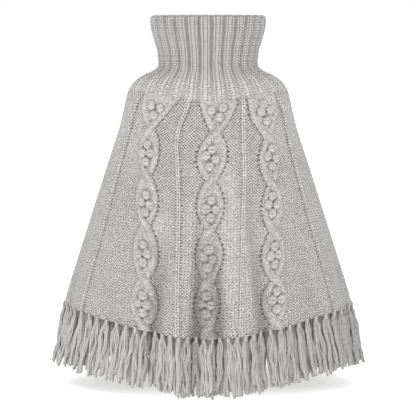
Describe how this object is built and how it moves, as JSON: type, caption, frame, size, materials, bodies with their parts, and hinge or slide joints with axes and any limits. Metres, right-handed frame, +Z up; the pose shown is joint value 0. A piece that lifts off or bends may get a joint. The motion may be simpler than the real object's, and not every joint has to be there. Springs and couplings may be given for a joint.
{
  "type": "knitted poncho sweater",
  "caption": "Child's knitted turtleneck poncho, ribbed collar and yoke, flared body with bobble cables and a fringed hem, hollow as worn.",
  "frame": {"origin": "middle of the neck, at the height where the collar turns out on to the wearer's shoulders", "axes": "+Z up, front towards -Y, the wearer's left towards +X"},
  "size_m": [0.4933, 0.3459, 0.5873],
  "materials": {
    "rib_knit": "chunky light grey wool in two-by-two rib",
    "body_knit": "chunky light grey wool in reverse stocking stitch with cables and bobbles",
    "fringe_yarn": "loose twisted light grey wool yarn, cut at the ends"
  },
  "bodies": {
    "root": {"collar_yoke": "rib_knit", "front_panel": "body_knit", "back_panel": "body_knit", "fringe_front": "fringe_yarn", "fringe_back": "fringe_yarn"}
  },
  "joints": []
}
